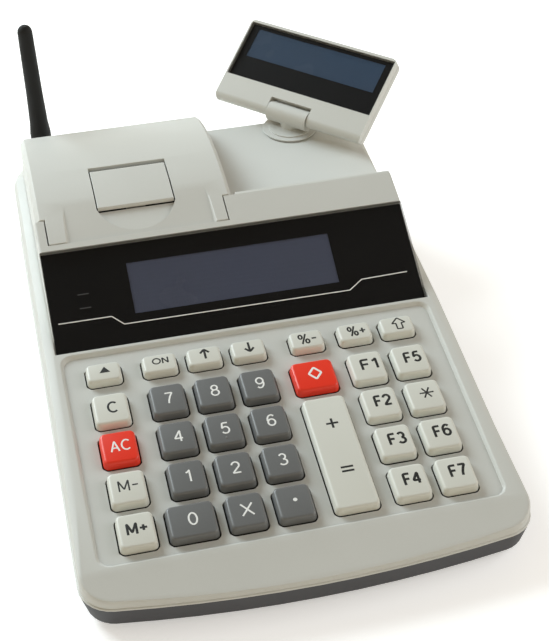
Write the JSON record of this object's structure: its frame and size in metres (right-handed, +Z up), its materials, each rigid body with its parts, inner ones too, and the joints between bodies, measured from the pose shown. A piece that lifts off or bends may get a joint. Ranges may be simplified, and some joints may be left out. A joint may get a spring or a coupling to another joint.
{
  "type": "ticket register",
  "caption": "Small till with a sloping keypad, a smoked display window, a receipt printer under a lid, a swivelling customer display and a stub antenna.",
  "frame": {"origin": "middle of the overall width and length, on the plane that the feet stand on", "axes": "+X to the operator's right, +Y from the operator to the back, +Z up"},
  "size_m": [0.1791, 0.2884, 0.1018],
  "materials": {
    "shell": "fine-grained moulded case plastic, warm light grey",
    "base": "moulded case plastic, dark blue-grey",
    "light_key": "smooth key cap, off-white",
    "dark_key": "smooth key cap, mid grey",
    "red_key": "smooth key cap, bright red",
    "smoked": "polished smoked acrylic, near black",
    "panel": "display glass over a dark blue-grey panel",
    "rubber": "soft black rubber",
    "silicone": "grey silicone",
    "board": "green solder mask on glass fibre board",
    "steel": "plain steel",
    "chassis": "black moulded plastic",
    "gear": "natural acetal",
    "battery": "blue shrink film"
  },
  "bodies": {
    "case": {"lower_case": "base", "upper_case": "shell", "display_window": "smoked", "operator_lcd": "panel", "main_board": "board", "interface_board": "board", "key_mat": "silicone", "battery_pack": "battery", "printer_frame": "chassis", "thermal_head": "steel", "stepper_motor": "steel", "foot_front_left": "rubber", "foot_front_right": "rubber", "foot_back_left": "rubber", "foot_back_right": "rubber"},
    "lid": {"printer_lid": "shell"},
    "latch": {"lid_latch": "shell"},
    "display_neck_body": {"display_neck": "shell"},
    "display_head": {"head_front": "shell", "head_back": "shell", "head_window": "smoked", "head_lcd": "panel"},
    "antenna_swivel_body": {"antenna_base": "chassis"},
    "antenna_whip_body": {"antenna_whip": "rubber"},
    "platen": {"platen_roller": "rubber"},
    "idler": {"idler_gear": "gear"},
    "pinion": {"motor_pinion": "steel"},
    "key_feed_body": {"key_feed": "light_key"},
    "key_on_body": {"key_on": "light_key"},
    "key_up_body": {"key_up": "light_key"},
    "key_down_body": {"key_down": "light_key"},
    "key_discount_body": {"key_discount": "light_key"},
    "key_surcharge_body": {"key_surcharge": "light_key"},
    "key_shift_body": {"key_shift": "light_key"},
    "key_clear_body": {"key_clear": "light_key"},
    "key_all_clear_body": {"key_all_clear": "red_key"},
    "key_void_body": {"key_void": "light_key"},
    "key_recall_body": {"key_recall": "light_key"},
    "key_7_body": {"key_7": "dark_key"},
    "key_8_body": {"key_8": "dark_key"},
    "key_9_body": {"key_9": "dark_key"},
    "key_4_body": {"key_4": "dark_key"},
    "key_5_body": {"key_5": "dark_key"},
    "key_6_body": {"key_6": "dark_key"},
    "key_1_body": {"key_1": "dark_key"},
    "key_2_body": {"key_2": "dark_key"},
    "key_3_body": {"key_3": "dark_key"},
    "key_0_body": {"key_0": "dark_key"},
    "key_multiply_body": {"key_multiply": "dark_key"},
    "key_point_body": {"key_point": "dark_key"},
    "key_subtotal_body": {"key_subtotal": "red_key"},
    "key_total_body": {"key_total": "light_key"},
    "key_group_1_body": {"key_group_1": "light_key"},
    "key_group_2_body": {"key_group_2": "light_key"},
    "key_group_3_body": {"key_group_3": "light_key"},
    "key_group_4_body": {"key_group_4": "light_key"},
    "key_group_5_body": {"key_group_5": "light_key"},
    "key_star_body": {"key_star": "light_key"},
    "key_group_6_body": {"key_group_6": "light_key"},
    "key_group_7_body": {"key_group_7": "light_key"}
  },
  "joints": [
    {"name": "lid_hinge", "type": "hinge", "parent": "case", "child": "lid", "pos_m": [-0.04073, 0.10473, 0.0501], "axis": [-1, 0, 0], "range_deg": [0, 70]},
    {"name": "latch_lift", "type": "hinge", "parent": "lid", "child": "latch", "pos_m": [-0.04073, 0.05413, 0.0605], "axis": [-1, 0, 0], "range_deg": [0, 35], "stiffness_Nm_per_rad": 0.02, "springref_deg": -11.46},
    {"name": "display_swivel", "type": "hinge", "parent": "case", "child": "display_neck_body", "pos_m": [0.03927, 0.09373, 0.05], "axis": [0, 0, 1], "range_deg": [-134, 136]},
    {"name": "display_tilt", "type": "hinge", "parent": "display_neck_body", "child": "display_head", "pos_m": [0.03927, 0.09373, 0.0566], "axis": [0.6921, -0.7218, 0], "range_deg": [-10, 49]},
    {"name": "antenna_swivel", "type": "hinge", "parent": "case", "child": "antenna_swivel_body", "pos_m": [-0.07183, 0.10393, 0.036], "axis": [0, 1, 0], "range_deg": [-88, 92]},
    {"name": "antenna_fold", "type": "hinge", "parent": "antenna_swivel_body", "child": "antenna_whip_body", "pos_m": [-0.07183, 0.12393, 0.036], "axis": [-0.9998, 0, -0.0209], "range_deg": [0, 90]},
    {"name": "platen_spin", "type": "hinge", "parent": "case", "child": "platen", "pos_m": [-0.04073, 0.02493, 0.0454], "axis": [1, 0, 0], "continuous": true},
    {"name": "idler_spin", "type": "hinge", "parent": "case", "child": "idler", "pos_m": [-0.00913, 0.02849, 0.03212], "axis": [1, 0, 0], "continuous": true},
    {"name": "pinion_spin", "type": "hinge", "parent": "case", "child": "pinion", "pos_m": [-0.00913, 0.02638, 0.02015], "axis": [1, 0, 0], "continuous": true},
    {"name": "key_feed_press", "type": "slide", "parent": "case", "child": "key_feed_body", "axis": [0, -0.1392, 0.9903], "range_m": [-0.002, 0], "stiffness_N_per_m": 200, "springref_m": 0.001, "deforming": ["key_mat"]},
    {"name": "key_on_press", "type": "slide", "parent": "case", "child": "key_on_body", "axis": [0, -0.1392, 0.9903], "range_m": [-0.002, 0], "stiffness_N_per_m": 200, "springref_m": 0.001, "deforming": ["key_mat"]},
    {"name": "key_up_press", "type": "slide", "parent": "case", "child": "key_up_body", "axis": [0, -0.1392, 0.9903], "range_m": [-0.002, 0], "stiffness_N_per_m": 200, "springref_m": 0.001, "deforming": ["key_mat"]},
    {"name": "key_down_press", "type": "slide", "parent": "case", "child": "key_down_body", "axis": [0, -0.1392, 0.9903], "range_m": [-0.002, 0], "stiffness_N_per_m": 200, "springref_m": 0.001, "deforming": ["key_mat"]},
    {"name": "key_discount_press", "type": "slide", "parent": "case", "child": "key_discount_body", "axis": [0, -0.1392, 0.9903], "range_m": [-0.002, 0], "stiffness_N_per_m": 200, "springref_m": 0.001, "deforming": ["key_mat"]},
    {"name": "key_surcharge_press", "type": "slide", "parent": "case", "child": "key_surcharge_body", "axis": [0, -0.1392, 0.9903], "range_m": [-0.002, 0], "stiffness_N_per_m": 200, "springref_m": 0.001, "deforming": ["key_mat"]},
    {"name": "key_shift_press", "type": "slide", "parent": "case", "child": "key_shift_body", "axis": [0, -0.1392, 0.9903], "range_m": [-0.002, 0], "stiffness_N_per_m": 200, "springref_m": 0.001, "deforming": ["key_mat"]},
    {"name": "key_clear_press", "type": "slide", "parent": "case", "child": "key_clear_body", "axis": [0, -0.1392, 0.9903], "range_m": [-0.002, 0], "stiffness_N_per_m": 200, "springref_m": 0.001, "deforming": ["key_mat"]},
    {"name": "key_all_clear_press", "type": "slide", "parent": "case", "child": "key_all_clear_body", "axis": [0, -0.1392, 0.9903], "range_m": [-0.002, 0], "stiffness_N_per_m": 200, "springref_m": 0.001, "deforming": ["key_mat"]},
    {"name": "key_void_press", "type": "slide", "parent": "case", "child": "key_void_body", "axis": [0, -0.1392, 0.9903], "range_m": [-0.002, 0], "stiffness_N_per_m": 200, "springref_m": 0.001, "deforming": ["key_mat"]},
    {"name": "key_recall_press", "type": "slide", "parent": "case", "child": "key_recall_body", "axis": [0, -0.1392, 0.9903], "range_m": [-0.002, 0], "stiffness_N_per_m": 200, "springref_m": 0.001, "deforming": ["key_mat"]},
    {"name": "key_7_press", "type": "slide", "parent": "case", "child": "key_7_body", "axis": [0, -0.1392, 0.9903], "range_m": [-0.002, 0], "stiffness_N_per_m": 200, "springref_m": 0.001, "deforming": ["key_mat"]},
    {"name": "key_8_press", "type": "slide", "parent": "case", "child": "key_8_body", "axis": [0, -0.1392, 0.9903], "range_m": [-0.002, 0], "stiffness_N_per_m": 200, "springref_m": 0.001, "deforming": ["key_mat"]},
    {"name": "key_9_press", "type": "slide", "parent": "case", "child": "key_9_body", "axis": [0, -0.1392, 0.9903], "range_m": [-0.002, 0], "stiffness_N_per_m": 200, "springref_m": 0.001, "deforming": ["key_mat"]},
    {"name": "key_4_press", "type": "slide", "parent": "case", "child": "key_4_body", "axis": [0, -0.1392, 0.9903], "range_m": [-0.002, 0], "stiffness_N_per_m": 200, "springref_m": 0.001, "deforming": ["key_mat"]},
    {"name": "key_5_press", "type": "slide", "parent": "case", "child": "key_5_body", "axis": [0, -0.1392, 0.9903], "range_m": [-0.002, 0], "stiffness_N_per_m": 200, "springref_m": 0.001, "deforming": ["key_mat"]},
    {"name": "key_6_press", "type": "slide", "parent": "case", "child": "key_6_body", "axis": [0, -0.1392, 0.9903], "range_m": [-0.002, 0], "stiffness_N_per_m": 200, "springref_m": 0.001, "deforming": ["key_mat"]},
    {"name": "key_1_press", "type": "slide", "parent": "case", "child": "key_1_body", "axis": [0, -0.1392, 0.9903], "range_m": [-0.002, 0], "stiffness_N_per_m": 200, "springref_m": 0.001, "deforming": ["key_mat"]},
    {"name": "key_2_press", "type": "slide", "parent": "case", "child": "key_2_body", "axis": [0, -0.1392, 0.9903], "range_m": [-0.002, 0], "stiffness_N_per_m": 200, "springref_m": 0.001, "deforming": ["key_mat"]},
    {"name": "key_3_press", "type": "slide", "parent": "case", "child": "key_3_body", "axis": [0, -0.1392, 0.9903], "range_m": [-0.002, 0], "stiffness_N_per_m": 200, "springref_m": 0.001, "deforming": ["key_mat"]},
    {"name": "key_0_press", "type": "slide", "parent": "case", "child": "key_0_body", "axis": [0, -0.1392, 0.9903], "range_m": [-0.002, 0], "stiffness_N_per_m": 200, "springref_m": 0.001, "deforming": ["key_mat"]},
    {"name": "key_multiply_press", "type": "slide", "parent": "case", "child": "key_multiply_body", "axis": [0, -0.1392, 0.9903], "range_m": [-0.002, 0], "stiffness_N_per_m": 200, "springref_m": 0.001, "deforming": ["key_mat"]},
    {"name": "key_point_press", "type": "slide", "parent": "case", "child": "key_point_body", "axis": [0, -0.1392, 0.9903], "range_m": [-0.002, 0], "stiffness_N_per_m": 200, "springref_m": 0.001, "deforming": ["key_mat"]},
    {"name": "key_subtotal_press", "type": "slide", "parent": "case", "child": "key_subtotal_body", "axis": [0, -0.1392, 0.9903], "range_m": [-0.002, 0], "stiffness_N_per_m": 200, "springref_m": 0.001, "deforming": ["key_mat"]},
    {"name": "key_total_press", "type": "slide", "parent": "case", "child": "key_total_body", "axis": [0, -0.1392, 0.9903], "range_m": [-0.002, 0], "stiffness_N_per_m": 200, "springref_m": 0.001, "deforming": ["key_mat"]},
    {"name": "key_group_1_press", "type": "slide", "parent": "case", "child": "key_group_1_body", "axis": [0, -0.1392, 0.9903], "range_m": [-0.002, 0], "stiffness_N_per_m": 200, "springref_m": 0.001, "deforming": ["key_mat"]},
    {"name": "key_group_2_press", "type": "slide", "parent": "case", "child": "key_group_2_body", "axis": [0, -0.1392, 0.9903], "range_m": [-0.002, 0], "stiffness_N_per_m": 200, "springref_m": 0.001, "deforming": ["key_mat"]},
    {"name": "key_group_3_press", "type": "slide", "parent": "case", "child": "key_group_3_body", "axis": [0, -0.1392, 0.9903], "range_m": [-0.002, 0], "stiffness_N_per_m": 200, "springref_m": 0.001, "deforming": ["key_mat"]},
    {"name": "key_group_4_press", "type": "slide", "parent": "case", "child": "key_group_4_body", "axis": [0, -0.1392, 0.9903], "range_m": [-0.002, 0], "stiffness_N_per_m": 200, "springref_m": 0.001, "deforming": ["key_mat"]},
    {"name": "key_group_5_press", "type": "slide", "parent": "case", "child": "key_group_5_body", "axis": [0, -0.1392, 0.9903], "range_m": [-0.002, 0], "stiffness_N_per_m": 200, "springref_m": 0.001, "deforming": ["key_mat"]},
    {"name": "key_star_press", "type": "slide", "parent": "case", "child": "key_star_body", "axis": [0, -0.1392, 0.9903], "range_m": [-0.002, 0], "stiffness_N_per_m": 200, "springref_m": 0.001, "deforming": ["key_mat"]},
    {"name": "key_group_6_press", "type": "slide", "parent": "case", "child": "key_group_6_body", "axis": [0, -0.1392, 0.9903], "range_m": [-0.002, 0], "stiffness_N_per_m": 200, "springref_m": 0.001, "deforming": ["key_mat"]},
    {"name": "key_group_7_press", "type": "slide", "parent": "case", "child": "key_group_7_body", "axis": [0, -0.1392, 0.9903], "range_m": [-0.002, 0], "stiffness_N_per_m": 200, "springref_m": 0.001, "deforming": ["key_mat"]}
  ],
  "couplings": [
    {"joint": "idler_spin", "follows": "platen_spin", "ratio": -0.7},
    {"joint": "pinion_spin", "follows": "platen_spin", "ratio": 1.4}
  ]
}
